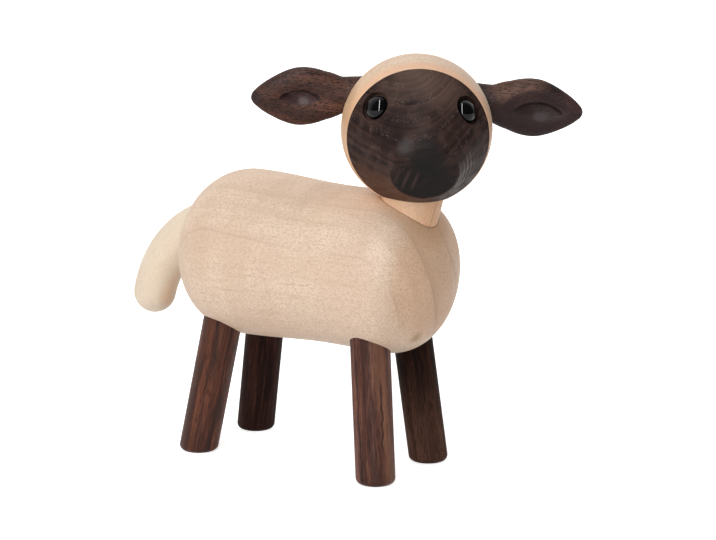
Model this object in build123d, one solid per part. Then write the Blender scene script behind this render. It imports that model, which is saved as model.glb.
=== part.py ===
from build123d import *
import os
from math import cos, hypot, radians, sin, sqrt, tan

# A turned wooden sheep that stands on four splayed dowel legs. Its head turns on a dowel in the neck.
# Millimetres. +Z is up and the floor is z = 0. The body points along -Y, and +X is its left side.
# The sizes are laid out from the point on the floor midway between the four feet. At the end the
# pieces are moved together, so that the origin is on the floor under the middle of the whole sheep.

# Fits
glue_gap = 0.05             # on the radius, between a glued dowel and its bore
glue_well = 0.3             # left under the end of a glued dowel
running_gap = 0.05          # on the radius, between the neck pin and the head
turn_gap = 0.15             # between the top of the neck and the underside of the head
overrun = 30.0              # how far a cutter reaches past the surface that it opens

# Body: a barrel with a slight waist, round shoulders and domed ends
body_axis_height = 51.6
body_rear_radius = 21.4
body_waist_radius = 20.25
body_front_radius = 20.2
rear_shoulder = 19.0        # from the origin back to where the rear shoulder begins
front_shoulder = 25.4       # from the origin forward to where the front shoulder begins
waist_ahead = 4.0
rear_shoulder_radius = 15.2
front_shoulder_radius = 11.5
shoulder_turn = 60.0        # degrees that a shoulder turns before the domed end
body_pitch = 0.6            # degrees, nose down about the rear shoulder

# Legs: dowels cut flat on the floor
leg_radius = 5.0
leg_top_below_axis = 7.6    # the top end of each leg, under the axis of the body
foot_round = 1.5
foot_reach = 27.6           # from the origin to each foot, forward and back
front_foot_side = 12.4
rear_foot_side = 12.7
front_rake = 5.9            # degrees, each leg from the upright
front_spread = 4.7          # degrees
rear_rake = 10.2            # degrees
rear_spread = 4.9           # degrees

# Tail: a bent stick with a round end
tail_root_radius = 6.15
tail_tip_radius = 5.6
tail_root_rise = 4.6        # where its centre line leaves the body, above the axis of the body
tail_bend_radius = 28.6
tail_root_slope = 25.2      # degrees below level at the body
tail_sweep = 51.4           # degrees
tail_tenon = 8.0

# Neck and its pin, on an axis that leans forward
neck_lean = 4.0
neck_radius = 7.9           # at its top
neck_taper = 10.5           # degrees, each side, narrower below
neck_floor_rise = 6.4       # the floor of its bore, above the axis of the body
pin_radius = 3.0
pin_in_neck = 9.0
pin_in_head = 11.0

# Head: a ball with a flat front for the face and a flat chin that rides on the neck
head_radius = 18.62
head_ahead = 5.9            # its centre, forward of the front shoulder of the body
chin_drop = 16.3
chin_gap = 0.75             # between the rear edge of the chin flat and the back of the body
face_set = 6.55             # from the centre of the head to its flat front
face_rim_round = 0.5
head_turn = 53.8            # degrees to the sheep's right, as it stands
face_pitch = 6.6            # degrees that the face looks down from square to the neck axis
face_roll = 0.4             # degrees that its right side hangs

# Face: a skewed cone whose round nose end looks down
face_radius = 17.35
nose_radius = 8.2
nose_ahead = 15.0           # the middle of the nose end, from the flat front of the head
nose_drop = 4.1
nose_side = 0.9             # to the sheep's left
nose_tilt = 25.0            # degrees
nose_round = 0.6
face_dowel_radius = 3.0
face_dowel_in_head = 5.0
face_dowel_in_face = 8.0

# Eyes: domes on shanks, each in a round recess
eye_side = 11.5
eye_rise = 8.95             # above the middle of the flat front
eye_ahead = 4.3
eye_turn_out = 50.0         # degrees, the direction in which an eye looks
eye_turn_up = 32.4          # degrees
eye_radius = 3.0
eye_height = 2.4
eye_recess_radius = 3.7
eye_recess_depth = 1.5
eye_shank_radius = 1.2
eye_shank = 2.8

# Ears: leaves on round stems, hollowed in front
ear_root_side = 16.2
ear_root_back = 6.6
left_ear_root_rise = 5.7
right_ear_root_rise = 6.1
ear_length = 24.95
ear_droop = 1.1             # degrees below the crosswise line of the head
ear_forward = 9.2           # degrees that an ear points forward of sideways
ear_stem_radius = 4.6
ear_tenon = 6.0
ear_collar = 2.8            # straight length of the stem outside the root point
ear_half_width = 7.3
ear_half_thickness = 2.9
dish_length = 17.0
dish_width = 9.6
dish_depth = 1.0
dish_place = 13.2           # the middle of the dish, from the root of the ear
groove_length = 10.4
groove_width = 3.8
groove_depth = 2.1
groove_place = 13.4
groove_rise = 0.2           # above the middle line of the ear

# Each row: how far along the leaf, half width and half thickness, as shares of the three sizes above
ear_shares = [
    (0.165, 0.74, 1.46),
    (0.24, 0.82, 1.36),
    (0.33, 0.91, 1.22),
    (0.42, 0.98, 1.08),
    (0.51, 1.00, 1.00),
    (0.60, 0.955, 0.93),
    (0.69, 0.845, 0.86),
    (0.78, 0.69, 0.77),
    (0.87, 0.50, 0.64),
    (0.94, 0.33, 0.48),
    (0.98, 0.19, 0.34),
    (1.00, 0.07, 0.15),
]


def cylinder_up(radius, low, high):
    """A cylinder on the local Z axis from one height to another."""
    return Pos(0, 0, low) * Cylinder(radius, high - low, align=(Align.CENTER, Align.CENTER, Align.MIN))


def shoulder_to_tip(start, radius, shoulder_radius):
    """Centre and radius of the shoulder arc and of the domed end, which is centred on the axis."""
    shoulder = (start, radius - shoulder_radius)
    turn = radians(shoulder_turn)
    dome = (shoulder[0] - shoulder[1] * tan(turn), 0)
    return shoulder, dome, shoulder_radius + shoulder[1] / cos(turn)


def body_blank():
    """The barrel, turned about the Y axis, lifted to its height and pitched."""
    rear, rear_dome, rear_dome_radius = shoulder_to_tip(rear_shoulder, body_rear_radius, rear_shoulder_radius)
    front, front_dome, front_dome_radius = shoulder_to_tip(
        front_shoulder, body_front_radius, front_shoulder_radius
    )
    rise = 90 - shoulder_turn
    outline = [
        CenterArc(rear_dome, rear_dome_radius, 0, rise),
        CenterArc(rear, rear_shoulder_radius, rise, shoulder_turn),
        Spline(
            (rear_shoulder, body_rear_radius),
            (-waist_ahead, body_waist_radius),
            (-front_shoulder, body_front_radius),
            tangents=((-1, 0), (-1, 0)),
        ),
        CenterArc((-front[0], front[1]), front_shoulder_radius, 90, shoulder_turn),
        CenterArc((-front_dome[0], 0), front_dome_radius, 180 - rise, rise),
        Line((-front_dome[0] - front_dome_radius, 0), (rear_dome[0] + rear_dome_radius, 0)),
    ]
    half = Plane.YZ * make_face(Wire(outline))
    barrel = Pos(0, -rear_shoulder, 0) * revolve(half, Axis.Y)
    return Pos(0, rear_shoulder, body_axis_height) * Rot(body_pitch, 0, 0) * barrel


def leg_plane(side, end):
    """The foot on the floor, with the local Z axis up the leg. End is -1 in front and 1 behind."""
    foot_side, rake, spread = (
        (front_foot_side, front_rake, front_spread) if end < 0 else (rear_foot_side, rear_rake, rear_spread)
    )
    inward = side * tan(radians(spread))
    foot = (side * foot_side, end * foot_reach, 0)
    return Plane(origin=foot, x_dir=(1, 0, inward), z_dir=(-inward, -end * tan(radians(rake)), 1))


def leg_length(plane):
    """Length along the axis from the floor to the top end."""
    return (body_axis_height - leg_top_below_axis) / plane.z_dir.Z


def leg(side, end):
    """A dowel cut level on the floor, with its edge rounded."""
    plane = leg_plane(side, end)
    stick = plane * cylinder_up(leg_radius, -2 * leg_radius, leg_length(plane))
    stick = split(stick, Plane.XY, keep=Keep.TOP)
    return fillet(stick.edges().group_by(Axis.Z)[0], foot_round)


def leg_bore(side, end):
    plane = leg_plane(side, end)
    top = leg_length(plane)
    return plane * cylinder_up(leg_radius + glue_gap, top - overrun, top + glue_well)


def tail_root():
    """The centre line where it leaves the domed rear end, and the direction in which it leaves."""
    _, dome, dome_radius = shoulder_to_tip(rear_shoulder, body_rear_radius, rear_shoulder_radius)
    back = dome[0] + sqrt(dome_radius**2 - tail_root_rise**2)
    slope = radians(tail_root_slope)
    return Vector(0, back, body_axis_height + tail_root_rise), Vector(0, cos(slope), -sin(slope))


def tail_end():
    """The centre of the round tip."""
    root, _ = tail_root()
    start = radians(90 - tail_root_slope)
    stop = start - radians(tail_sweep)
    return root + Vector(0, cos(stop) - cos(start), sin(stop) - sin(start)) * tail_bend_radius


def tail_stick(extra):
    """A straight tenon and a tapered bend, or the bore for them if they are given extra radius."""
    root, outward = tail_root()
    well = glue_well if extra else 0
    straight = Plane(origin=root, x_dir=(1, 0, 0), z_dir=outward) * cylinder_up(
        tail_root_radius + extra, -tail_tenon - well, 0
    )
    path = TangentArc(root, tail_end(), tangent=outward)
    sections = [
        Plane(origin=path @ 0, x_dir=(1, 0, 0), z_dir=path % 0) * Circle(tail_root_radius + extra),
        Plane(origin=path @ 1, x_dir=(1, 0, 0), z_dir=path % 1) * Circle(tail_tip_radius + extra),
    ]
    return straight + sweep(sections, path, multisection=True)


def tail():
    return tail_stick(0) + Pos(*tail_end()) * Sphere(tail_tip_radius)


# The neck axis runs through the centre of the head. The turned head carries the face frame,
# whose Y axis points back out of the head and whose Z axis is the crown.
chin_radius = sqrt(head_radius**2 - chin_drop**2)
front_sink = (rear_shoulder + front_shoulder) * sin(radians(body_pitch))
head_height = (
    body_axis_height + body_front_radius - front_sink + chin_gap
    + chin_drop * cos(radians(neck_lean)) - chin_radius * sin(radians(neck_lean))
)
head_centre = (0, -front_shoulder - head_ahead, head_height)
neck_frame = Location(head_centre, (neck_lean, 0, 0))
turned_frame = Location(head_centre, (neck_lean, 0, -head_turn))
face_frame = turned_frame * Location((0, 0, 0), (face_pitch, -face_roll, 0))
neck_floor = -(head_height - body_axis_height - neck_floor_rise) / cos(radians(neck_lean))
neck_top = -chin_drop - turn_gap


def neck_cone(low, high, extra):
    """A stretch of the tapered neck, or of its bore if it is given extra radius."""
    slope = tan(radians(neck_taper))
    return Pos(0, 0, low) * Cone(
        neck_radius + extra + (low - neck_top) * slope,
        neck_radius + extra + (high - neck_top) * slope,
        high - low,
        align=(Align.CENTER, Align.CENTER, Align.MIN),
    )


def neck_bore():
    return neck_frame * neck_cone(neck_floor - glue_well, neck_floor + overrun, glue_gap)


def neck():
    plug = neck_cone(neck_floor, neck_top, 0)
    plug -= cylinder_up(pin_radius + glue_gap, neck_top - pin_in_neck - glue_well, neck_top + overrun)
    return neck_frame * plug


def neck_pin():
    return neck_frame * cylinder_up(pin_radius, neck_top - pin_in_neck, -chin_drop + pin_in_head)


def below_chin():
    """Everything below the chin flat."""
    size = 2 * overrun
    return turned_frame * Pos(0, 0, -chin_drop) * Box(
        size, size, overrun, align=(Align.CENTER, Align.CENTER, Align.MAX)
    )


# Local X is the sheep's left, local Y is up the face and local Z is straight out of the flat front
muzzle_frame = face_frame * Plane(origin=(0, -face_set, 0), x_dir=(1, 0, 0), z_dir=(0, -1, 0)).location


def eye_frame(side):
    """Where an eye sits on the face, with the local Z axis in the direction in which it looks."""
    out, lift = radians(eye_turn_out), radians(eye_turn_up)
    look = (side * sin(out) * cos(lift), sin(lift), cos(out) * cos(lift))
    return muzzle_frame * Plane(origin=(side * eye_side, eye_rise, eye_ahead), z_dir=look).location


def ear_frame(side):
    """The root of an ear: local Z runs along it, X points out of its front, Y up it on the right ear."""
    forward, droop = radians(ear_forward), radians(ear_droop)
    along = Vector(side * cos(forward) * cos(droop), -sin(forward) * cos(droop), -sin(droop))
    front = Vector(-side * sin(forward), -cos(forward), 0)
    rise = left_ear_root_rise if side > 0 else right_ear_root_rise
    root = Plane(origin=(side * ear_root_side, ear_root_back, rise), x_dir=front, z_dir=along)
    return face_frame * root.location


def head():
    """The ball with its two flats and its bores."""
    size = 2 * overrun
    ball = Sphere(head_radius) - Pos(0, -face_set, 0) * Box(
        size, overrun, size, align=(Align.CENTER, Align.MAX, Align.CENTER)
    )
    ball = fillet(ball.edges().group_by(Axis.Y)[0], face_rim_round)
    ball = face_frame * ball - below_chin()
    ball -= neck_frame * cylinder_up(
        pin_radius + running_gap, -chin_drop - overrun, -chin_drop + pin_in_head + glue_well
    )
    ball -= muzzle_frame * cylinder_up(face_dowel_radius + glue_gap, -face_dowel_in_head - glue_well, overrun)
    for side in (-1, 1):
        ball -= ear_frame(side) * cylinder_up(ear_stem_radius + glue_gap, -ear_tenon - glue_well, overrun)
    return ball


def face():
    """A straight-sided loft from the round rim to the tilted nose end, cut level with the chin."""
    nose = Plane(
        origin=(nose_side, -nose_drop, nose_ahead),
        x_dir=(1, 0, 0),
        z_dir=(0, -sin(radians(nose_tilt)), cos(radians(nose_tilt))),
    )
    cone = loft([Circle(face_radius), nose * Circle(nose_radius)], ruled=True)
    cone = fillet(cone.faces().sort_by(Axis.Z)[-1].edges(), nose_round)
    cone -= cylinder_up(face_dowel_radius + glue_gap, -overrun, face_dowel_in_face + glue_well)
    cone = muzzle_frame * cone - below_chin()
    for side in (-1, 1):
        cone -= eye_frame(side) * cylinder_up(eye_recess_radius, -eye_recess_depth, overrun)
        cone -= eye_frame(side) * cylinder_up(
            eye_shank_radius + glue_gap, -eye_recess_depth - eye_shank - glue_well, overrun
        )
    return cone


def face_dowel():
    return muzzle_frame * cylinder_up(face_dowel_radius, -face_dowel_in_head, face_dowel_in_face)


def eye(side):
    """Half an ellipsoid on a shank."""
    dome = scale(Sphere(1), by=(eye_radius, eye_radius, eye_height))
    dome = split(dome, Plane.XY, keep=Keep.TOP)
    shank = cylinder_up(eye_shank_radius, -eye_shank, eye_height / 2)
    return eye_frame(side) * Pos(0, 0, -eye_recess_depth) * (dome + shank)


def ear(side):
    """A smooth loft through ellipses on a round stem, hollowed twice in front."""
    sections = [Pos(0, 0, ear_collar) * Circle(ear_stem_radius)]
    for along, wide, thick in ear_shares:
        half_thickness = ear_half_thickness * thick
        sections.append(Pos(0, 0, ear_length * along) * Ellipse(half_thickness, ear_half_width * wide))
    leaf = loft(sections) + cylinder_up(ear_stem_radius, -ear_tenon, ear_collar)
    dish = scale(Sphere(1), by=(dish_depth, dish_width / 2, dish_length / 2))
    groove = scale(Sphere(1), by=(groove_depth, groove_width / 2, groove_length / 2))
    leaf -= Pos(ear_half_thickness, 0, dish_place) * dish
    leaf -= Pos(ear_half_thickness - dish_depth, -side * groove_rise, groove_place) * groove
    return ear_frame(side) * leaf


def body():
    barrel = body_blank() - neck_bore() - tail_stick(glue_gap)
    for side in (-1, 1):
        for end in (-1, 1):
            barrel -= leg_bore(side, end)
    return barrel


pieces = {
    "body": body(),
    "tail": tail(),
    "neck": neck(),
    "neck_pin": neck_pin(),
    "head": head(),
    "face": face(),
    "face_dowel": face_dowel(),
}
for side, side_name in ((-1, "right"), (1, "left")):
    pieces[f"leg_front_{side_name}"] = leg(side, -1)
    pieces[f"leg_rear_{side_name}"] = leg(side, 1)
    pieces[f"eye_{side_name}"] = eye(side)
    pieces[f"ear_{side_name}"] = ear(side)

boxes = [piece.bounding_box() for piece in pieces.values()]
middle_x = (min(box.min.X for box in boxes) + max(box.max.X for box in boxes)) / 2
middle_y = (min(box.min.Y for box in boxes) + max(box.max.Y for box in boxes)) / 2
to_origin = Pos(-middle_x, -middle_y, 0)
pieces = {name: to_origin * piece for name, piece in pieces.items()}

os.makedirs("parts", exist_ok=True)
for name, piece in pieces.items():
    export_step(piece, f"parts/{name}.step")

moved_centre = to_origin * Pos(*head_centre)
moved_feet = [to_origin * Pos(*leg_plane(side, end).origin) for side in (-1, 1) for end in (-1, 1)]
print("head centre", moved_centre.position)
print("neck axis", neck_frame.z_axis.direction)
print("feet", [foot.position for foot in moved_feet])
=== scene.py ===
from math import pi, radians, tan

import bpy
import numpy as np
from mathutils import Matrix, Vector


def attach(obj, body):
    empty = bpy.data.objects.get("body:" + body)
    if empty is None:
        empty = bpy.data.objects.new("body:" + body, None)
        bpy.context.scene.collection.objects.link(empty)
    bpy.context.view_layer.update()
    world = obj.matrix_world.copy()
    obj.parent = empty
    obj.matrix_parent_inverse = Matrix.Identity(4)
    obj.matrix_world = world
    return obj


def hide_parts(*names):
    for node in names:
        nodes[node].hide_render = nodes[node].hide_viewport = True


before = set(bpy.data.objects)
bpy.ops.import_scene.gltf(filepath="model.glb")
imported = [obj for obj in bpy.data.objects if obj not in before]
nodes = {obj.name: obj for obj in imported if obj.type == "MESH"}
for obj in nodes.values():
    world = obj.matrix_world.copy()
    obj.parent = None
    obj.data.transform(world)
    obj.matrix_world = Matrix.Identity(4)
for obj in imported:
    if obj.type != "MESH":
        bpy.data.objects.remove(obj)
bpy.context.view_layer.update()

# A turned wooden sheep: pale maple body and head, dark legs, ears and muzzle, glossy black eyes.
# Metres. +Z is up, the body points along -Y and +X is its left side. The head, the woods, the ears
# and the eyes have their sizes and places in millimetres. Angles are in degrees.

mm = 0.001


def toLinear(red, green, blue):
    # screen colour from 0 to 255 to linear light, by the sRGB curve
    c = np.array([red, green, blue]) / 255
    return tuple(np.where(c <= 0.04045, c / 12.92, ((c + 0.055) / 1.055) ** 2.4)) + (1.0,)


def tones(**screen):
    # named screen colours as linear ones
    return {name: toLinear(*color) for name, color in screen.items()}


def outward(azimuth, elevation):
    # the way out at an angle round from the front and an angle above the floor
    a, e = radians(azimuth), radians(elevation)
    return Vector((np.sin(a) * np.cos(e), -np.cos(a) * np.cos(e), np.sin(e)))


# camera

cameraSpec = dict(
    eye=(-0.51878263, -0.35592319, 0.183382),
    azimuth=-56.263,
    elevation=12.07,
    focalPixels=2524.592,     # in an image that is imageWidth pixels wide
    imageWidth=716,
    sensor=36.0,
    clipStart=0.01,
)


def makeCamera(spec):
    back = outward(spec["azimuth"], spec["elevation"])
    right = Vector((0, 0, 1)).cross(back).normalized()
    up = back.cross(right)
    data = bpy.data.cameras.new("viewCamera")
    data.sensor_fit = "HORIZONTAL"
    data.sensor_width = spec["sensor"]
    data.lens = spec["focalPixels"] * spec["sensor"] / spec["imageWidth"]
    data.clip_start = spec["clipStart"]
    camera = bpy.data.objects.new("viewCamera", data)
    turn = Matrix((right, up, back)).transposed().to_4x4()
    camera.matrix_world = Matrix.Translation(spec["eye"]) @ turn
    bpy.context.scene.collection.objects.link(camera)
    bpy.context.scene.camera = camera


makeCamera(cameraSpec)
bpy.context.scene.view_settings.view_transform = "Standard"
print("camera placed")


# the head's own frame: X is the sheep's left, Y goes out of the back of the head, Z is its crown

headSpec = dict(centre=(-1.7046, -27.8642, 87.7175), lean=4.0, turn=53.8, pitch=6.6, roll=0.4)


def turned(axis, degrees):
    return np.array(Matrix.Rotation(radians(degrees), 3, axis))


neckTurn = turned("X", headSpec["lean"])
faceTurn = (
    neckTurn @ turned("Z", -headSpec["turn"])
    @ turned("X", headSpec["pitch"]) @ turned("Y", -headSpec["roll"])
)


def onHead(points):
    # from the head's own millimetres to the shared frame in metres
    return (np.array(headSpec["centre"]) + points @ faceTurn.T) * mm


def headPoint(*place):
    # from the head's own millimetres to the shared frame's millimetres
    return tuple(onHead(np.array(place, float)) / mm)


def alongHead(direction):
    return tuple(faceTurn @ np.array(direction, float))


# node helpers

def addNode(tree, kind, sockets=None, **settings):
    # an input gets a link from another node's socket, or a value of its own
    made = tree.nodes.new(kind)
    for name, value in settings.items():
        setattr(made, name, value)
    for name, value in (sockets or {}).items():
        if isinstance(value, bpy.types.NodeSocket):
            tree.links.new(value, made.inputs[name])
        else:
            made.inputs[name].default_value = value
    return made


def mathOut(tree, operation, a, b=0.0):
    return addNode(tree, "ShaderNodeMath", {0: a, 1: b}, operation=operation).outputs[0]


def times(tree, a, b):
    return mathOut(tree, "MULTIPLY", a, b)


def vectorOut(tree, operation, sockets, output=0):
    return addNode(tree, "ShaderNodeVectorMath", sockets, operation=operation).outputs[output]


def dotOut(tree, a, b):
    return vectorOut(tree, "DOT_PRODUCT", {0: a, 1: b}, "Value")


def noiseOut(tree, vector, detail=2.0):
    sockets = {"Vector": vector, "Scale": 1.0, "Detail": detail}
    return addNode(tree, "ShaderNodeTexNoise", sockets).outputs[0]


def placeOut(tree, label="Object"):
    return tree.nodes.new("ShaderNodeTexCoord").outputs[label]


def mixColor(tree, amount, a, b, blend="MIX"):
    # the node's colours are its inputs 6 and 7 and its output 2
    sockets = {0: amount, 6: a, 7: b}
    return addNode(tree, "ShaderNodeMix", sockets, data_type="RGBA", blend_type=blend).outputs[2]


def ramp(tree, value, low, high, to=(0.0, 1.0)):
    # a smooth rise from one value at low to another at high
    sockets = {"Value": value, "From Min": low, "From Max": high, "To Min": to[0], "To Max": to[1]}
    made = addNode(tree, "ShaderNodeMapRange", sockets, interpolation_type="SMOOTHSTEP")
    return made.outputs[0]


def layer(tree, color, over, mask, rise):
    # another colour comes in, up to a share, as the mask rises between two values
    low, high, share = rise
    return mixColor(tree, ramp(tree, mask, low, high, (0.0, share)), color, over)


def wash(tree, color, over, mask, share):
    # another colour comes in by a share of the mask
    return mixColor(tree, times(tree, mask, share), color, over)


def stretched(tree, vector, across, along):
    # the vector in millimetres divided by a cell size across and along the grain
    inverse = [mathOut(tree, "DIVIDE", 1.0, size) for size in (across, across, along)]
    cell = addNode(tree, "ShaderNodeCombineXYZ", dict(enumerate(inverse)))
    return vectorOut(tree, "MULTIPLY", {0: vector, 1: cell.outputs[0]})


def fineSpeckle(tree, vector, size):
    # round specks of one size
    return noiseOut(tree, vectorOut(tree, "SCALE", {0: vector, "Scale": 1 / size}))


# wood patterns as groups

def newGroup(name, inputs, outputs):
    # a vector and named numbers go in, and named numbers come out
    tree = bpy.data.node_groups.new(name, "ShaderNodeTree")
    sockets = [("Vector", "INPUT", "NodeSocketVector")]
    sockets += [(label, "INPUT", "NodeSocketFloat") for label in inputs]
    sockets += [(label, "OUTPUT", "NodeSocketFloat") for label in outputs]
    for label, way, kind in sockets:
        tree.interface.new_socket(name=label, in_out=way, socket_type=kind)
    start, end = tree.nodes.new("NodeGroupInput"), tree.nodes.new("NodeGroupOutput")
    return tree, start.outputs, end.inputs


ringsSpec = dict(
    bendSize=(22.0, 90.0),    # across and along the grain
    fallFrom=0.985,           # of a ring's step
    yearStep=0.45,
)


def makeRingsGroup(spec):
    # rings: the distance from the Z axis, bent by noise, cut into equal steps; each step rises
    # slowly from early wood (0) to late wood (1) and falls at once
    tree, start, end = newGroup("growthRings", ["Spacing", "Wobble", "Sharpness"], ["Late", "Broad"])
    bend = noiseOut(tree, stretched(tree, start["Vector"], *spec["bendSize"]))
    split = addNode(tree, "ShaderNodeSeparateXYZ", {0: start["Vector"]})
    squares = [mathOut(tree, "POWER", split.outputs[i], 2.0) for i in (0, 1)]
    radius = mathOut(tree, "SQRT", mathOut(tree, "ADD", *squares))
    radius = mathOut(tree, "ADD", radius, times(tree, bend, start["Wobble"]))
    steps = mathOut(tree, "DIVIDE", radius, start["Spacing"])
    phase = mathOut(tree, "FRACT", steps)
    late = mathOut(tree, "POWER", phase, start["Sharpness"])
    fall = ramp(tree, phase, 1.0, spec["fallFrom"])
    tree.links.new(times(tree, late, fall), end["Late"])
    years = {"W": times(tree, steps, spec["yearStep"])}
    broad = addNode(tree, "ShaderNodeTexNoise", years, noise_dimensions="1D")
    tree.links.new(broad.outputs[0], end["Broad"])
    return tree


poresSpec = dict(edge=0.09)


def makePoresGroup(spec):
    # pores: noise drawn out along the grain, of which only the peaks are kept
    tree, start, end = newGroup("openPores", ["Width", "Length", "Cut"], ["Mask"])
    cells = stretched(tree, start["Vector"], start["Width"], start["Length"])
    above = mathOut(tree, "SUBTRACT", noiseOut(tree, cells, 1.0), start["Cut"])
    tree.links.new(ramp(tree, above, 0.0, spec["edge"]), end["Mask"])
    return tree


grainSpec = dict(Hair=30.0, Streak=18.0, Band=9.0)     # length over width


def makeGrainGroup(spec):
    # grain: three noises drawn out along the grain, from hair lines to broad bands
    tree, start, end = newGroup("woodGrain", spec, spec)
    for label, ratio in spec.items():
        along = times(tree, start[label], ratio)
        cells = stretched(tree, start["Vector"], start[label], along)
        tree.links.new(noiseOut(tree, cells), end[label])
    return tree


groups = dict(
    rings=makeRingsGroup(ringsSpec), pores=makePoresGroup(poresSpec), grain=makeGrainGroup(grainSpec),
)


def useGroup(tree, name, vector, **values):
    sockets = dict(values, Vector=vector)
    return addNode(tree, "ShaderNodeGroup", sockets, node_tree=groups[name]).outputs


# parts of a wood

def startMaterial(name, spec):
    # the pattern runs in millimetres from a middle point, turned so that its Z goes along the grain
    material = bpy.data.materials.new(name)
    material.use_nodes = True
    tree = material.node_tree
    turn = Vector(spec["run"]).rotation_difference(Vector((0, 0, 1)))
    mapping = addNode(tree, "ShaderNodeMapping", {
        "Vector": placeOut(tree),
        "Scale": (1 / mm, 1 / mm, 1 / mm),
        "Rotation": turn.to_euler(),
        "Location": -(turn @ Vector(spec["middle"])),
    })
    return material, tree, tree.nodes["Principled BSDF"], mapping.outputs[0]


def facingMask(tree, direction, low, high, top=1.0):
    # how far the surface faces one way
    return ramp(tree, dotOut(tree, placeOut(tree, "Normal"), direction), low, high, (0.0, top))


def nearMask(tree, point, inner, outer, top=1.0):
    # full inside one distance from a point, and none outside another
    away = vectorOut(tree, "DISTANCE", {0: placeOut(tree), 1: [v * mm for v in point]}, "Value")
    return ramp(tree, away, outer * mm, inner * mm, (0.0, top))


def offsetFrom(tree, point):
    # the way from a point to the surface
    offset = vectorOut(tree, "SUBTRACT", {0: placeOut(tree), 1: [v * mm for v in point]})
    return vectorOut(tree, "SCALE", {0: offset, "Scale": 1 / mm})


def lineDistance(tree, offset, axis):
    # how far the surface lies from a line through the point
    cross = vectorOut(tree, "CROSS_PRODUCT", {0: offset, 1: axis})
    return vectorOut(tree, "LENGTH", {0: cross}, "Value")


def paintSpots(tree, color, spots):
    # each spot is one colour round a point, and fades out between two distances from it
    for spot in spots:
        near = nearMask(tree, spot["at"], spot["inner"], spot["outer"], spot["mix"])
        color = mixColor(tree, near, color, toLinear(*spot["color"]))
    return color


strokeSpec = dict(straySize=5.0, coreShare=0.3, fullShare=0.6)


def paintStrips(tree, color, vector, strips):
    # each strip is one colour along a plane, from which it strays a little; it is full over a
    # share of its width and of its reach
    for strip in strips:
        stray = mathOut(tree, "SUBTRACT", fineSpeckle(tree, vector, strokeSpec["straySize"]), 0.5)
        gap = dotOut(tree, offsetFrom(tree, strip["at"]), strip["across"])
        gap = mathOut(tree, "ADD", gap, times(tree, stray, strip["stray"]))
        gap = mathOut(tree, "ABSOLUTE", gap)
        width, reach = strip["width"], strip["reach"]
        inside = ramp(tree, gap, width, width * strokeSpec["coreShare"], (0.0, strip["mix"]))
        near = nearMask(tree, strip["at"], reach * strokeSpec["fullShare"], reach)
        color = wash(tree, color, toLinear(*strip["color"]), inside, near)
    return color


def paintSeamShade(tree, color, seamShades):
    # each seam is a thin line of painted shade in the crease where a tapered plug stands in the wood
    for seam in seamShades:
        offset = offsetFrom(tree, seam["point"])
        along = dotOut(tree, offset, seam["axis"])
        edge = mathOut(tree, "ADD", times(tree, along, seam["slope"]), seam["radius"])
        gap = mathOut(tree, "SUBTRACT", lineDistance(tree, offset, seam["axis"]), edge)
        gap = mathOut(tree, "ABSOLUTE", gap)
        rise = (seam["width"], seam["core"], seam["mix"])
        color = layer(tree, color, toLinear(*seam["color"]), gap, rise)
    return color


def waveMarks(tree, distance, mark):
    # the crests of a sine of the distance, near the mark's own place
    wave = mathOut(tree, "SINE", times(tree, distance, 2 * pi / mark["spacing"]))
    near = nearMask(tree, mark["at"], mark["inner"], mark["outer"], mark["mix"])
    return times(tree, ramp(tree, wave, mark["crest"], 1.0), near)


def finishWood(tree, shader, spec, color, grain, height):
    # the roughness follows the grain, and the height gives bumps as high as spec["bump"] in metres
    tree.links.new(color, shader.inputs["Base Color"])
    tree.links.new(ramp(tree, grain, *spec["rough"]), shader.inputs["Roughness"])
    shader.inputs["Specular IOR Level"].default_value = spec["specular"]
    sockets = {"Height": height, "Strength": 1.0, "Distance": spec["bump"]}
    tree.links.new(addNode(tree, "ShaderNodeBump", sockets).outputs[0], shader.inputs["Normal"])


# pale wood; a layer has the two values between which its mask rises, and then its share

mapleSpec = dict(
    tones(pale=(239, 215, 192), deep=(220, 190, 164), pink=(229, 199, 176), line=(178, 140, 110)),
    middle=(4, 4, 4), run=(0, 0, 1),
    rings=dict(Spacing=10.4, Wobble=1.6, Sharpness=42.0),
    ringShown=(0.35, 0.6, (0.3, 1.0)), ringMix=0.5,
    grain=dict(Hair=0.3, Streak=1.4, Band=8.0),
    pores=dict(Width=0.22, Length=0.8, Cut=0.58), poreMix=0.35,
    speckSize=0.45, cloudSize=13.0, curlSize=(45.0, 7.0),
    broad=(0.35, 0.7, 0.4), cloud=(0.42, 0.66, 0.6), curl=(0.45, 0.65, 0.35),
    streak=(0.5, 0.75, 0.45), hair=(0.55, 0.75, 0.3),
    speck=(0.45, 0.66, 0.9), fleck=(0.56, 0.7, 0.2),
    # the warmer side, partly end grain and partly painted shade
    endAndShadeWay=(0.0, -1.0, 0.0), endAndShadeRise=(0.6, 0.97), endAndShadeTint=(0.98, 0.86, 0.76, 1.0),
    endSharpness=8.0, endBand=0.0,
    rough=(0.3, 0.7, (0.45, 0.56)), specular=0.35, speckHeight=0.5, bump=0.00003,
)


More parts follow.
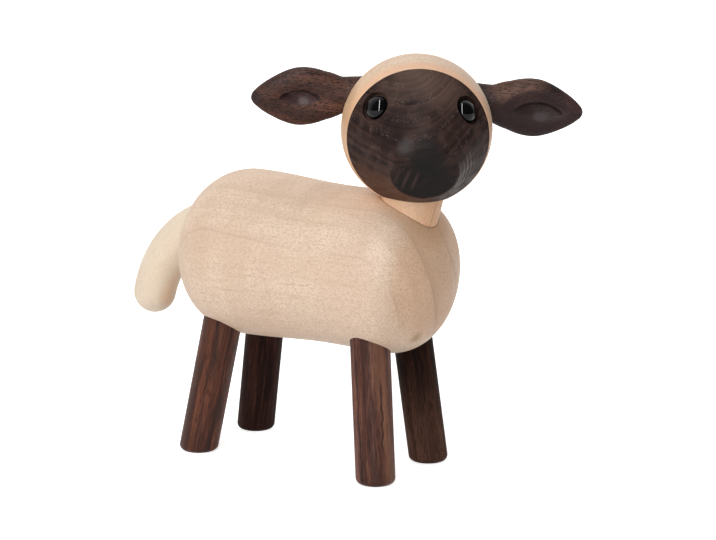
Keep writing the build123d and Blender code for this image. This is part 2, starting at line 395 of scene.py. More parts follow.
def makePaleWood(name, spec):
    material, tree, shader, vector = startMaterial(name, spec)
    rings = useGroup(tree, "rings", vector, **spec["rings"])
    grain = useGroup(tree, "grain", vector, **spec["grain"])
    pores = useGroup(tree, "pores", vector, **spec["pores"])["Mask"]
    speck = fineSpeckle(tree, vector, spec["speckSize"])
    cloud = fineSpeckle(tree, vector, spec["cloudSize"])
    color = layer(tree, spec["pale"], spec["deep"], rings["Broad"], spec["broad"])
    color = layer(tree, color, spec["pink"], cloud, spec["cloud"])
    # curl: soft bands across the grain
    curl = noiseOut(tree, stretched(tree, vector, *spec["curlSize"]), 1.0)
    color = layer(tree, color, spec["deep"], curl, spec["curl"])
    color = layer(tree, color, spec["deep"], grain["Streak"], spec["streak"])
    color = layer(tree, color, spec["line"], grain["Hair"], spec["hair"])
    # the late wood of each year shows as a thin line that comes and goes
    shown = times(tree, rings["Late"], ramp(tree, cloud, *spec["ringShown"]))
    color = wash(tree, color, spec["line"], shown, spec["ringMix"])
    color = wash(tree, color, spec["line"], pores, spec["poreMix"])
    color = layer(tree, color, spec["deep"], speck, spec["speck"])
    color = layer(tree, color, spec["line"], speck, spec["fleck"])
    # the side that faces one way is warmer: partly end grain, which drinks more finish, partly painted
    # shade, the warm tint of the shaded side
    atEndAndShade = facingMask(tree, spec["endAndShadeWay"], *spec["endAndShadeRise"])
    color = mixColor(tree, atEndAndShade, color, mixColor(tree, 1.0, color, spec["endAndShadeTint"], "MULTIPLY"))
    # and there the late wood is a wide dark band that fades inward
    wide = useGroup(tree, "rings", vector, **dict(spec["rings"], Sharpness=spec["endSharpness"]))
    color = wash(tree, color, spec["line"], times(tree, wide["Late"], atEndAndShade), spec["endBand"])
    color = paintSpots(tree, color, spec.get("spots", []))
    color = paintStrips(tree, color, vector, spec.get("strips", []))
    color = paintSeamShade(tree, color, spec.get("seamShades", []))
    height = mathOut(tree, "SUBTRACT", times(tree, speck, spec["speckHeight"]), pores)
    finishWood(tree, shader, spec, color, grain["Band"], height)
    return material


# the neck is a cone that narrows downward from its top, which lies under the head's centre
neckCone = dict(topRadius=7.9, topBelow=16.45, taper=10.5)
neckSlope = tan(radians(neckCone["taper"]))
bodySpec = dict(
    mapleSpec, run=(0, -1, 0), endBand=0.35,
    middle=(97.8, 0, 95),     # the tree that the body was cut from had its pith up and to the left
    spots=[
        dict(at=(-6.8, -31.2, 36.6), inner=0.2, outer=2.6, mix=0.75, color=(170, 136, 88)),
        # painted shade: darker and warmer round the foot of the neck, under the head
        dict(at=(-1.7, -27.0, 66.0), inner=8.0, outer=12.0, mix=0.5, color=(206, 162, 122)),
    ],
    # painted shade: a thin dark line in the crease where the neck meets the body
    seamShades=[dict(
        point=headSpec["centre"], axis=tuple(neckTurn @ (0, 0, 1)), slope=neckSlope,
        radius=neckCone["topRadius"] + neckCone["topBelow"] * neckSlope,
        width=0.45, core=0.1, mix=0.65, color=(172, 124, 88),
    )],
)
mapleBody = makePaleWood("mapleBody", bodySpec)

headWoodSpec = dict(
    mapleSpec, middle=(40, 20, 60), run=alongHead((1, 0, 0)),
    rings=dict(mapleSpec["rings"], Spacing=7.0),
    # the head's warmer side faces its right and back: partly end grain, partly painted shade of that
    # shaded side
    endAndShadeWay=(-0.5, 0.85, 0.0), endAndShadeRise=(0.2, 0.97), endAndShadeTint=(0.93, 0.8, 0.62, 1.0),
    spots=[
        # painted warm shade next to the face, which is what lies nearest to a point far in front of
        # the head
        dict(at=headPoint(0, -60, 0), inner=57.0, outer=60.6, mix=0.8, color=(236, 188, 151)),
        # painted shadow of the right ear on the side of the head
        dict(at=(-17.2, -17.8, 89.2), inner=1.0, outer=7.5, mix=0.55, color=(200, 156, 118)),
    ],
)
mapleHead = makePaleWood("mapleHead", headWoodSpec)

neckSpec = dict(
    mapleSpec, middle=(12, 24, 5), rings=dict(mapleSpec["rings"], Spacing=3.0),
    # warmer and more orange than the body's maple: partly painted warm bounce light in the crease
    # under the head
    **tones(pale=(250, 214, 182), deep=(240, 196, 158), pink=(246, 206, 172), line=(206, 156, 116)),
    strips=[dict(
        at=(-2.8, -33.6, 67.4), across=(-0.977, 0.066, 0.14), width=0.3, stray=0.6, reach=9.0,
        mix=0.4, color=(168, 120, 84),
    )],
)
mapleNeck = makePaleWood("mapleNeck", neckSpec)

tailSpec = dict(
    mapleSpec, middle=(20, 40, 0), run=(0, 0.55, 0.83),
    rings=dict(mapleSpec["rings"], Spacing=11.0), ringMix=0.1,
    **tones(pale=(243, 226, 203), deep=(234, 213, 188), pink=(240, 220, 198), line=(214, 186, 154)),
    broad=(0.35, 0.7, 0.3), speck=(0.45, 0.66, 0.35), fleck=(0.56, 0.7, 0.1),
)
tailWood = makePaleWood("tailWood", tailSpec)
dowelWood = makePaleWood("dowelWood", mapleSpec)


# dark wood

legSpec = dict(
    tones(dark=(60, 33, 24), warm=(106, 61, 44), light=(138, 86, 64), line=(40, 22, 18),
          pore=(28, 15, 13)),
    rings=dict(Spacing=1.9, Wobble=2.4, Sharpness=2.0), ringMix=0.5,
    grain=dict(Hair=0.28, Streak=0.8, Band=2.2),
    pores=dict(Width=0.13, Length=3.0, Cut=0.57), poreMix=0.7,
    band=(0.35, 0.65, 1.0), streak=(0.5, 0.72, 0.6), hair=(0.5, 0.75, 0.55),
    rough=(0.3, 0.7, (0.44, 0.58)), specular=0.16, hairHeight=0.4, bump=0.00005,
)


def makeDarkWood(name, spec):
    material, tree, shader, vector = startMaterial(name, spec)
    rings = useGroup(tree, "rings", vector, **spec["rings"])
    grain = useGroup(tree, "grain", vector, **spec["grain"])
    pores = useGroup(tree, "pores", vector, **spec["pores"])["Mask"]
    color = layer(tree, spec["dark"], spec["warm"], grain["Band"], spec["band"])
    color = paintSpots(tree, color, spec.get("spots", []))
    color = layer(tree, color, spec["light"], grain["Streak"], spec["streak"])
    color = layer(tree, color, spec["dark"], grain["Hair"], spec["hair"])
    color = wash(tree, color, spec["line"], rings["Late"], spec["ringMix"])
    color = wash(tree, color, spec["pore"], pores, spec["poreMix"])
    color = paintStrips(tree, color, vector, spec.get("strips", []))
    # an ear gets painted shade in its hollow, a painted shadow under the groove's upper wall and a
    # painted glint, paler, on the groove's floor
    if "hollow" in spec:
        shadowAndGlint, shade = [
            addNode(tree, "ShaderNodeAttribute", attribute_name=label).outputs["Fac"]
            for label in ("hollowShadowAndGlint", "hollowShade")
        ]
        color = wash(tree, color, spec["inside"], shade, spec["hollow"]["inside"])
        color = layer(tree, color, spec["pore"], shadowAndGlint, spec["hollow"]["wallShadow"])
        color = layer(tree, color, spec["rubbed"], shadowAndGlint, spec["hollow"]["rubbed"])
    height = mathOut(tree, "SUBTRACT", times(tree, grain["Hair"], spec["hairHeight"]), pores)
    finishWood(tree, shader, spec, color, grain["Streak"], height)
    return material


crack = dict(stray=2.4, mix=0.75, color=(34, 18, 15))
frontRightSpec = dict(
    legSpec, grain=dict(legSpec["grain"], Streak=1.0), streak=(0.5, 0.72, 0.55),
    # painted light: lighter tones than the rear right leg's, for the broad light on its left side
    **tones(dark=(74, 42, 33), warm=(124, 78, 62), light=(164, 112, 90), line=(46, 26, 21),
            pore=(34, 18, 15)),
    strips=[
        dict(at=(-14.4, -26.7, 20.0), across=(-0.947, 0.319, -0.026), width=2.2, stray=2.4,
             reach=24.0, mix=0.4, color=(146, 104, 80)),
        dict(crack, at=(-17.3, -21.0, 20.0), across=(0.191, 0.972, -0.134), width=0.5, reach=30.0),
        dict(crack, at=(-15.2, -26.7, 17.5), across=(-0.874, 0.485, 0.016), width=0.4, reach=11.0),
    ],
)
# the two legs on the sheep's left are darker: partly darker wood, partly painted shade, as they stand
# in the body's shadow
farLegSpec = dict(
    legSpec, rough=(0.3, 0.7, (0.54, 0.68)), specular=0.04,
    **tones(dark=(28, 15, 12), warm=(52, 31, 24), light=(78, 50, 38), line=(22, 12, 10),
            pore=(16, 9, 8)),
)
rearLeftSpec = dict(
    farLegSpec,
    **tones(dark=(36, 21, 18), warm=(64, 39, 33), light=(90, 60, 48), line=(28, 16, 14),
            pore=(22, 13, 12)),
)
frontLeftSpec = dict(
    farLegSpec,
    # painted light: the leg gets lighter toward its foot, down out of the body's shadow
    spots=[dict(at=(10.7, -24.2, 0.0), inner=6.0, outer=28.0, mix=0.85, color=(106, 75, 62))],
)
# each leg's grain runs along it, from its foot in to the body
legSpecs = dict(
    leg_rear_right=dict(legSpec, middle=(40, 0, 0), run=(0.086, -0.179, 1)),
    leg_front_right=dict(frontRightSpec, middle=(49, 12, 0), run=(0.082, 0.103, 1)),
    leg_rear_left=dict(rearLeftSpec, middle=(58, 24, 0), run=(-0.086, -0.179, 1)),
    leg_front_left=dict(frontLeftSpec, middle=(67, 36, 0), run=(-0.082, 0.103, 1)),
)
legWoods = {name: makeDarkWood(f"wood_{name}", spec) for name, spec in legSpecs.items()}


# the face

faceSpec = dict(
    tones(dark=(40, 29, 27), warm=(66, 48, 43), light=(90, 68, 60), line=(32, 24, 24),
          pore=(122, 104, 98), brown=(92, 62, 48), nose=(33, 31, 30)),
    middle=headPoint(-8.0, 0.0, 34.0), run=alongHead((0, 1, 0)),
    rings=dict(Spacing=3.3, Wobble=5.0, Sharpness=2.0), ringMix=0.28,
    fineRings=dict(Spacing=1.1, Wobble=3.0, Sharpness=2.0), fineMix=0.22,
    grain=dict(Hair=0.5, Streak=2.2, Band=5.0),
    patchSize=2.6, poreSize=0.3, poreRise=(0.545, 0.625), rowRise=(0.4, 0.55), poreMix=0.65,
    broad=(0.35, 0.65, 1.0), patch=(0.45, 0.7, 0.4),
    # painted reflection of the maple body: brown on the faces that look down, forward and to the
    # sheep's right
    bodyReflectionWay=alongHead((-0.45, -0.35, -0.82)), bodyReflectionRise=(0.72, 0.98, 0.75),
    noseAt=headPoint(0.9, -21.9, -4.1), noseRadii=(7.9, 8.3),
    noseLow=dict(at=headPoint(1.5, -21.9, -8.5), inner=5.5, outer=12.0, mix=0.95),
    turning=dict(at=(-8.6, -45.6, 79.4), spacing=0.95, crest=-0.2, inner=1.5, outer=6.5, mix=0.62,
                 broken=(0.35, 0.6, (0.5, 1.0)), color=(140, 132, 126)),
    scrape=dict(at=(-19.3, -36.7, 78.6), across=(-0.673, 0.696, 0.246), spacing=2.3, crest=-0.1,
                inner=1.0, outer=4.6, mix=0.7, color=(76, 58, 56)),
    spots=[
        dict(at=(-8.9, -39.0, 99.6), inner=2.0, outer=9.0, mix=0.55, color=(112, 88, 78)),
        dict(at=(-10.8, -33.1, 102.5), inner=1.0, outer=7.0, mix=0.5, color=(112, 90, 76)),
        dict(at=(-15.4, -28.9, 99.1), inner=2.0, outer=7.0, mix=0.35, color=(100, 78, 68)),
        dict(at=(-20.8, -32.5, 90.4), inner=2.0, outer=7.5, mix=0.7, color=(34, 26, 26)),
    ],
    noseSpots=[                             # the dark above the nose, and the sheen on the bridge
        dict(at=(-19.8, -42.5, 84.5), inner=2.5, outer=6.5, mix=0.85, color=(34, 32, 32)),
        dict(at=(-23.0, -38.2, 87.2), inner=0.1, outer=3.4, mix=0.6, color=(84, 82, 81)),
    ],
    rough=(0.3, 0.7, (0.48, 0.62)), specular=0.05, bump=0.00003,
)


def makeFaceWood(name, spec):
    # rings round a line above the face, with rows of short pale pores along them; browner toward the
    # lower rim with a painted warm reflection of the maple body, nearly black on the flat end of the
    # nose and over it, with the tool's turning lines on the left flank and scrapes across the flat
    material, tree, shader, vector = startMaterial(name, spec)
    rings = useGroup(tree, "rings", vector, **spec["rings"])
    fine = useGroup(tree, "rings", vector, **spec["fineRings"])["Late"]
    grain = useGroup(tree, "grain", vector, **spec["grain"])
    dots = fineSpeckle(tree, vector, spec["poreSize"])
    patchy = fineSpeckle(tree, vector, spec["patchSize"])
    color = layer(tree, spec["dark"], spec["warm"], rings["Broad"], spec["broad"])
    color = layer(tree, color, spec["light"], patchy, spec["patch"])
    color = paintSpots(tree, color, spec["spots"])
    color = wash(tree, color, spec["line"], fine, spec["fineMix"])
    color = wash(tree, color, spec["line"], rings["Late"], spec["ringMix"])
    # painted reflection: the faces that look down toward the maple body take on its warm brown
    facingBodyReflection = facingMask(tree, spec["bodyReflectionWay"], *spec["bodyReflectionRise"])
    color = mixColor(tree, facingBodyReflection, color, spec["brown"])
    inRow = times(tree, rings["Late"], ramp(tree, patchy, *spec["rowRise"]))
    pores = times(tree, ramp(tree, dots, *spec["poreRise"]), inRow)
    color = wash(tree, color, spec["pore"], pores, spec["poreMix"])
    # the turning lines are rings round the middle of the nose
    turning, low, scrape = spec["turning"], spec["noseLow"], spec["scrape"]
    fromNose = lineDistance(tree, offsetFrom(tree, spec["noseAt"]), spec["run"])
    unbroken = ramp(tree, patchy, *turning["broken"])
    lines = waveMarks(tree, fromNose, turning)
    color = wash(tree, color, toLinear(*turning["color"]), lines, unbroken)
    color = paintSpots(tree, color, spec["noseSpots"])
    atNose = nearMask(tree, spec["noseAt"], *spec["noseRadii"])
    lower = nearMask(tree, low["at"], low["inner"], low["outer"], low["mix"])
    color = wash(tree, color, spec["nose"], atNose, lower)
    acrossFlat = dotOut(tree, offsetFrom(tree, scrape["at"]), scrape["across"])
    marks = waveMarks(tree, acrossFlat, scrape)
    color = wash(tree, color, toLinear(*scrape["color"]), marks, atNose)
    height = mathOut(tree, "SUBTRACT", fine, pores)
    finishWood(tree, shader, spec, color, grain["Streak"], height)
    return material


faceWood = makeFaceWood("faceWood", faceSpec)


# ears, of the legs' wood with coarser pores; the left one is darker, partly painted shade, as it is
# turned from the light

earSpec = dict(
    legSpec,
    **tones(dark=(70, 45, 38), warm=(100, 67, 55), light=(128, 84, 68), line=(50, 31, 27),
            pore=(32, 18, 16), rubbed=(118, 104, 104), inside=(66, 48, 48)),
    middle=(10, 20, 0), run=alongHead((-0.987, -0.16, 0.12)),
    rings=dict(Spacing=4.0, Wobble=3.0, Sharpness=2.0), ringMix=0.25,
    grain=dict(Hair=0.5, Streak=1.4, Band=4.5), streak=(0.5, 0.72, 0.4),
    pores=dict(Width=0.24, Length=1.1, Cut=0.52), poreMix=0.92,
    # painted shade in the hollow, a painted shadow under the groove's upper wall and a painted glint
    # on its floor
    hollow=dict(inside=0.75, wallShadow=(0.0, 1.0, 0.8), rubbed=(0.0, -1.0, 0.6)),
    specular=0.14, bump=0.00006,
    spots=[dict(at=headPoint(-40.6, 2.0, 5.6), inner=0.5, outer=3.2, mix=0.8, color=(44, 38, 42))],
)
earLeftSpec = dict(
    earSpec, middle=(30, 50, 10), run=alongHead((0.987, -0.16, -0.05)), specular=0.1, poreMix=0.6,
    **tones(dark=(38, 25, 24), warm=(58, 41, 38), light=(78, 56, 50), line=(32, 21, 21),
            pore=(22, 14, 14), rubbed=(84, 71, 72), inside=(52, 38, 39)),
    spots=[
        dict(at=headPoint(24.0, 4.0, 14.0), inner=5.0, outer=10.0, mix=0.85, color=(116, 84, 70)),
        dict(at=(21.6, -58.8, 91.4), inner=3.0, outer=8.0, mix=0.7, color=(92, 66, 66)),
    ],
)
earWoodRight = makeDarkWood("earWoodRight", earSpec)
earWoodLeft = makeDarkWood("earWoodLeft", earLeftSpec)


# eyes

glossSpec = dict(
    tones(dark=(8, 8, 9), pale=(13, 12, 14)),
    middle=(0, 0, 0), run=(0, 0, 1),
    dustSize=0.4, shadeSize=3.0, rough=(0.5, 0.9, (0.04, 0.08)), specular=0.21,
)


def makeGlossBlack(spec):
    material, tree, shader, vector = startMaterial("glossBlack", spec)
    dust = fineSpeckle(tree, vector, spec["dustSize"])
    tree.links.new(ramp(tree, dust, *spec["rough"]), shader.inputs["Roughness"])
    shade = fineSpeckle(tree, vector, spec["shadeSize"])
    color = mixColor(tree, shade, spec["dark"], spec["pale"])
    tree.links.new(color, shader.inputs["Base Color"])
    shader.inputs["Specular IOR Level"].default_value = spec["specular"]
    return material


glossBlack = makeGlossBlack(glossSpec)
print("materials made")


# surfaces

def gridMesh(name, points):
    # a grid of points (rows, columns, 3) in metres becomes quads; the columns close round, and the
    # first and last rows close on their own middle points
    rows, columns, _ = points.shape
    index = np.arange(rows * columns).reshape(rows, columns)
    after = np.roll(index, -1, axis=1)
    quads = np.stack([index[:-1], after[:-1], after[1:], index[1:]], axis=-1).reshape(-1, 4)
    ends = points[[0, -1]].mean(axis=1)
    first, last = rows * columns, rows * columns + 1
    startFan = np.stack([np.full(columns, first), after[0], index[0]], axis=-1)
    endFan = np.stack([np.full(columns, last), index[-1], after[-1]], axis=-1)
    corners = np.concatenate([quads.ravel(), startFan.ravel(), endFan.ravel()])
    sizes = np.concatenate([np.full(len(quads), 4), np.full(2 * columns, 3)])
    vertices = np.concatenate([points.reshape(-1, 3), ends])
    mesh = bpy.data.meshes.new(name)
    mesh.vertices.add(len(vertices))
    mesh.vertices.foreach_set("co", vertices.ravel())
    mesh.loops.add(len(corners))
    mesh.loops.foreach_set("vertex_index", corners)
    mesh.polygons.add(len(sizes))
    mesh.polygons.foreach_set("loop_start", np.concatenate([[0], np.cumsum(sizes)[:-1]]))
    mesh.update(calc_edges=True)
    mesh.validate()
    mesh.shade_smooth()
    made = bpy.data.objects.new(name, mesh)
    bpy.context.scene.collection.objects.link(made)
    return made


def smoothCurve(knots, values, at):
    # cubic pieces through the knots, whose slopes are the mean slopes of their neighbours
    slopes = np.gradient(values, knots)
    cell = np.clip(np.searchsorted(knots, at) - 1, 0, len(knots) - 2)
    width = knots[cell + 1] - knots[cell]
    t = (at - knots[cell]) / width
    return (
        (2 * t**3 - 3 * t**2 + 1) * values[cell] + (t**3 - 2 * t**2 + t) * width * slopes[cell]
        + (3 * t**2 - 2 * t**3) * values[cell + 1] + (t**3 - t**2) * width * slopes[cell + 1]
    )


def ease(t):
    return t * t * (3 - 2 * t)


# what differs between the ears is under 1 for the left one and -1 for the right one
earShape = dict(
    rootSide=16.2, rootBack=6.6, rootRise={1: 5.7, -1: 6.1}, forward=9.2, droop=1.1,
    tenon=-6.0, length=24.95, rows=230, columns=220, crowding=1.7,
    square=0.7, squareFrom=4.0, squareOver=8.0,
    along=(-6.0, 0.0, 1.2, 2.4, 3.6, 5.0, 6.5, 8.0, 9.5, 11.0, 12.5, 14.0, 15.5, 17.0, 18.5, 20.0,
           21.5, 23.0, 24.0, 24.5),
    halfWidth=(4.55, 4.55, 4.55, 4.66, 5.2, 5.73, 6.13, 6.63, 7.0, 7.23, 7.3, 7.18, 6.8, 6.23, 5.53,
               4.73, 3.83, 2.73, 1.83, 1.29),
    halfThickness=(4.55, 4.55, 4.5, 4.3, 4.15, 3.95, 3.72, 3.5, 3.3, 3.12, 2.98, 2.86, 2.74, 2.6,
                   2.42, 2.2, 1.9, 1.5, 1.1, 0.8),
    dish={
        1: dict(at=13.6, halfLength=9.4, halfWidth=4.9, rise=0.1, upperWall=2.2, lowerWall=5.0,
                depth=0.9),
        -1: dict(at=13.6, halfLength=9.0, halfWidth=4.6, rise=-0.4, upperWall=4.6, lowerWall=4.6,
                 depth=0.7),
    },
    groove={
        1: dict(at=14.2, halfLength=6.4, halfWidth=2.4, rise=-0.3, upperWall=0.9, lowerWall=3.4,
                depth=1.5),
        -1: dict(at=13.4, halfLength=5.4, halfWidth=2.2, rise=0.1, upperWall=0.4, lowerWall=3.0,
                 depth=1.7),
    },
    # the painted shadow under the groove's upper wall, and the painted glint on its floor
    wallShadowDrop=0.5, wallShadowReach=0.75, wallShadowFade=0.5,
    patch={
        1: dict(at=14.6, halfLength=2.4, halfWidth=1.3, rise=-1.6),
        -1: dict(at=12.2, halfLength=1.7, halfWidth=1.0, rise=-0.7),
    },
    glintEdge=1.2,
    shadeReach={1: 1.06, -1: 0.88}, shadeEdge=0.7,
)


def lensHeight(along, lens):
    # half the width of a lens: a parabola, full at its middle and nothing at its two ends
    return lens["halfWidth"] * np.clip(1 - ((along - lens["at"]) / lens["halfLength"]) ** 2, 0, 1)


def hollow(along, up, lens):
    # how deep a lens-shaped hollow goes, with its own width for the wall above and the one below
    half = lensHeight(along, lens)
    upper = np.clip((lens["rise"] + half - up) / lens["upperWall"], 0, 1)
    lower = np.clip((up - lens["rise"] + half) / lens["lowerWall"], 0, 1)
    return lens["depth"] * ease(upper) * ease(lower)


def hollowShadowAndGlint(along, up, side, shape):
    # 1 a little under the groove's upper edge, a painted shadow of that wall, and -1 on a painted
    # glint on a patch of its floor
    groove, patch = shape["groove"][side], shape["patch"][side]
    half = lensHeight(along, groove)
    under = groove["rise"] + half - up
    wallShadow = np.clip(1 - np.abs(under - shape["wallShadowDrop"]) / shape["wallShadowReach"], 0, 1)
    wallShadow = wallShadow * np.clip(half / shape["wallShadowFade"], 0, 1)
    length = (along - patch["at"]) / patch["halfLength"]
    width = (up - patch["rise"]) / patch["halfWidth"]
    rubbed = np.clip(shape["glintEdge"] - np.hypot(length, width), 0, 1)
    return ease(wallShadow) - ease(rubbed)


def hollowShade(along, up, side, shape):
    # 1 in the painted shade of the hollow, with a soft edge: all that is under the dish's upper edge
    # on the left ear, and what is inside the groove on the right one
    lens = shape["dish"][side] if side > 0 else shape["groove"][side]
    half = lensHeight(along, lens) * shape["shadeReach"][side]
    inside = lens["rise"] + half - up if side > 0 else half - np.abs(up - lens["rise"])
    return ease(np.clip(inside / shape["shadeEdge"] + 0.5, 0, 1))


def makeEar(name, side, shape):
    # rows run along the ear, closer together toward the tip, and columns round it: a rounded slab
    # whose half width and half thickness change along it and close at the tip as the root of the
    # distance left, minus two hollows in front
    length = shape["length"]
    step = np.linspace(0, 1, shape["rows"])
    s = shape["tenon"] + (length - shape["tenon"]) * (1 - (1 - step) ** shape["crowding"])
    knots = np.array(shape["along"])
    wide, thick = [
        smoothCurve(knots, np.array(shape[half]) / np.sqrt(length - knots), s) * np.sqrt(length - s)
        for half in ("halfWidth", "halfThickness")
    ]
    angle = np.linspace(0, 2 * np.pi, shape["columns"], endpoint=False)
    squared = shape["square"] * np.clip((s - shape["squareFrom"]) / shape["squareOver"], 0, 1)
    power = 2 / (2 + squared)[:, None]
    front = np.sign(np.cos(angle)) * np.abs(np.cos(angle)) ** power * thick[:, None]
    up = np.sign(np.sin(angle)) * np.abs(np.sin(angle)) ** power * wide[:, None]
    along = np.repeat(s[:, None], len(angle), axis=1)
    facing = np.clip(front, 0, 1)
    dish, groove = shape["dish"][side], shape["groove"][side]
    front = front - facing * (hollow(along, up, dish) + hollow(along, up, groove))
    shadowAndGlint = hollowShadowAndGlint(along, up, side, shape) * facing
    shade = hollowShade(along, up, side, shape) * facing
    out, dip = radians(shape["forward"]), radians(shape["droop"])
    frontAxis = np.array([-side * np.sin(out), -np.cos(out), 0])
    alongAxis = np.array([side * np.cos(out) * np.cos(dip), -np.sin(out) * np.cos(dip), -np.sin(dip)])
    upAxis = np.cross(frontAxis, alongAxis) * side
    root = np.array([side * shape["rootSide"], shape["rootBack"], shape["rootRise"][side]])
    points = (
        root + along[..., None] * alongAxis + front[..., None] * frontAxis + up[..., None] * upAxis
    )
    if side > 0:
        points, shadowAndGlint, shade = points[:, ::-1], shadowAndGlint[:, ::-1], shade[:, ::-1]
    ear = gridMesh(name, onHead(points))
    for label, values in (("hollowShadowAndGlint", shadowAndGlint), ("hollowShade", shade)):
        attribute = ear.data.attributes.new(label, "FLOAT", "POINT")
        attribute.data.foreach_set("value", np.append(values.ravel(), (0.0, 0.0)))
    return ear


eyeShape = dict(
    side=11.5, rise=8.95, ahead=4.3, turnOut=50.0, turnUp=32.4, faceSet=6.55, sink=1.5,
    radius=3.0, height=2.4, lip=0.05, lipDrop=0.04, backDrop=0.05,
    shankRadius=1.2, shank=2.8, shankEnd=0.01,
    poleAngle=0.02,           # radians
    rows=48, columns=96,
)


def makeEye(name, side, shape):
    # a profile of half an ellipse, a short lip and a straight shank, carried round its axis
    arc = np.linspace(shape["poleAngle"], np.pi / 2, shape["rows"])
    dome = np.stack([shape["radius"] * np.sin(arc), shape["height"] * np.cos(arc)], axis=1)
    foot = np.array([
        [shape["radius"] - shape["lip"], -shape["lipDrop"]],
        [shape["shankRadius"], -shape["backDrop"]],
        [shape["shankRadius"], -shape["shank"]],
        [shape["shankEnd"], -shape["shank"]],
    ])
    profile = np.concatenate([dome, foot])
    angle = np.linspace(0, 2 * np.pi, shape["columns"], endpoint=False)
    out, lift = radians(shape["turnOut"]), radians(shape["turnUp"])
    look = np.array([side * np.sin(out) * np.cos(lift), -np.cos(out) * np.cos(lift), np.sin(lift)])
    acrossX = np.cross([0, 0, 1.0], look)
    acrossX /= np.linalg.norm(acrossX)
    acrossY = np.cross(look, acrossX)
    centre = np.array([side * shape["side"], -shape["faceSet"] - shape["ahead"], shape["rise"]])
    radius, height = profile[:, 0][:, None, None], profile[:, 1][:, None, None]
    ring = np.cos(angle)[None, :, None] * acrossX + np.sin(angle)[None, :, None] * acrossY
    points = centre + (height - shape["sink"]) * look + radius * ring
    return gridMesh(name, onHead(points[:, ::-1]))


def dress(made, body, material, slotName, *replaced):
    made.data.materials.clear()
    made.data.materials.append(material)
    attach(made, body)
    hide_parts(*replaced)


for side, sideName, earWood in ((1, "left", earWoodLeft), (-1, "right", earWoodRight)):
    ear = makeEar(f"earLeaf_{sideName}", side, earShape)
    dress(ear, "turning_head", earWood, "ear_wood", f"ear_{sideName}")
    eye = makeEye(f"eyeDome_{sideName}", side, eyeShape)
    dress(eye, "turning_head", glossBlack, "eye_gloss", f"eye_{sideName}")
print("ears and eyes made")


# finishes on the solids

nodeFinish = {
    "body": mapleBody, "head": mapleHead, "neck": mapleNeck, "tail": tailWood, "face": faceWood,
    "neck_pin": dowelWood, "face_dowel": dowelWood, "ear_left": earWoodLeft, "ear_right": earWoodRight,
    "eye_left": glossBlack, "eye_right": glossBlack, **legWoods,
}
for name, material in nodeFinish.items():
    for slotAt in nodes[name].material_slots:
        slotAt.material = material
print("finishes set")


# floor, world and lamps

def raysSeen(tree):
    # 1 for rays from the camera or through something clear, and 1 for mirrored rays
    path = tree.nodes.new("ShaderNodeLightPath").outputs
    straight = mathOut(tree, "MAXIMUM", path["Is Camera Ray"], path["Is Transmission Ray"])
    return straight, path["Is Glossy Ray"]


floorSpec = dict(size=6.0, level=0.88, roughness=0.9, glow=0.7, near=0.2, far=0.9)


def makeFloor(spec):
    half = spec["size"] / 2
    corners = [(-half, -half, 0), (half, -half, 0), (half, half, 0), (-half, half, 0)]
    mesh = bpy.data.meshes.new("floor")
    mesh.from_pydata(corners, [], [(0, 1, 2, 3)])
    floor = bpy.data.objects.new("floor", mesh)
    bpy.context.scene.collection.objects.link(floor)
    material = bpy.data.materials.new("whiteFloor")
    material.use_nodes = True
    tree = material.node_tree
    shader = tree.nodes["Principled BSDF"]
    shader.inputs["Base Color"].default_value = (spec["level"], spec["level"], spec["level"], 1)
    shader.inputs["Roughness"].default_value = spec["roughness"]
    shader.inputs["Specular IOR Level"].default_value = 0.0
    shader.inputs["Emission Color"].default_value = (1, 1, 1, 1)
    seen = mathOut(tree, "MAXIMUM", *raysSeen(tree))
    # the glow rises with the distance from the sheep, and leaves its shadow near it
    away = vectorOut(tree, "LENGTH", {0: placeOut(tree)}, "Value")
    glow = ramp(tree, away, spec["near"], spec["far"], (spec["glow"], 1.0))
    tree.links.new(times(tree, seen, glow), shader.inputs["Emission Strength"])
    mesh.materials.append(material)


makeFloor(floorSpec)

worldSpec = dict(fill=0.03, front=0.05, toward=(-0.6, -0.8, 0.0), whiteFrom=-0.45, darkFrom=0.2)


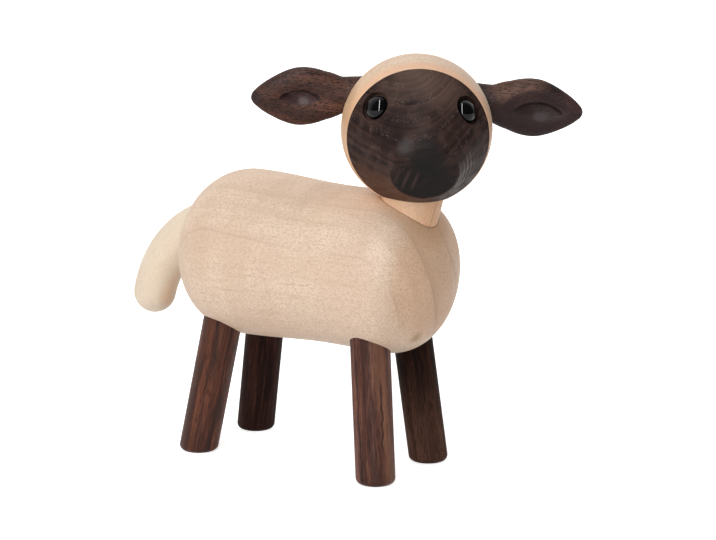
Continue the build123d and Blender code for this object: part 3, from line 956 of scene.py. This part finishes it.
def makeWorld(spec):
    # white behind and beside the sheep and dark on the camera's side, for what is mirrored; a
    # camera or transmission ray sees white, and the rest sees a weak even fill
    world = bpy.data.worlds.new("studio")
    world.use_nodes = True
    tree = world.node_tree
    background = tree.nodes["Background"]
    background.inputs["Color"].default_value = (1, 1, 1, 1)
    facing = dotOut(tree, placeOut(tree, "Generated"), spec["toward"])
    mirrored = ramp(tree, facing, spec["darkFrom"], spec["whiteFrom"], (spec["front"], 1.0))
    seen, glossy = raysSeen(tree)
    seen = mathOut(tree, "MAXIMUM", seen, times(tree, glossy, mirrored))
    strength = mathOut(tree, "MAXIMUM", seen, spec["fill"])
    tree.links.new(strength, background.inputs["Strength"])
    bpy.context.scene.world = world


makeWorld(worldSpec)

# each lamp faces the sheep from an angle round from the camera and an angle above the floor
lampPlan = dict(middle=(0.0, 0.0, 0.06), distance=0.9, size=(0.5, 0.5))
lampSpecs = dict(
    frontLeft=dict(round=-50, above=12, power=1.0),
    front=dict(round=-15, above=28, power=3.7),
    upperLeft=dict(round=-50, above=47, power=1.8),
    upperRight=dict(round=88, above=45, power=1.1),
    top=dict(round=0, above=78, power=1.35),
    backLeft=dict(round=-150, above=25, power=2.2),
    backRight=dict(round=150, above=30, power=2.6),
)
stripSpec = dict(round=-4, above=45, power=14.0, distance=0.75, size=(0.06, 1.6))


def makeLamp(name, spec, mirrored):
    data = bpy.data.lights.new(name, "AREA")
    data.shape = "RECTANGLE"
    data.size, data.size_y = spec["size"]
    data.energy = spec["power"]
    lamp = bpy.data.objects.new(name, data)
    away = outward(cameraSpec["azimuth"] + spec["round"], spec["above"])
    place = Vector(spec["middle"]) + away * spec["distance"]
    lamp.matrix_world = Matrix.Translation(place) @ away.to_track_quat("Z", "Y").to_matrix().to_4x4()
    lamp.visible_glossy = mirrored
    lamp.visible_diffuse = not mirrored
    bpy.context.scene.collection.objects.link(lamp)


for name, spec in lampSpecs.items():
    makeLamp(name, dict(lampPlan, **spec), False)
makeLamp("strip", dict(lampPlan, **stripSpec), True)
print("stage set")
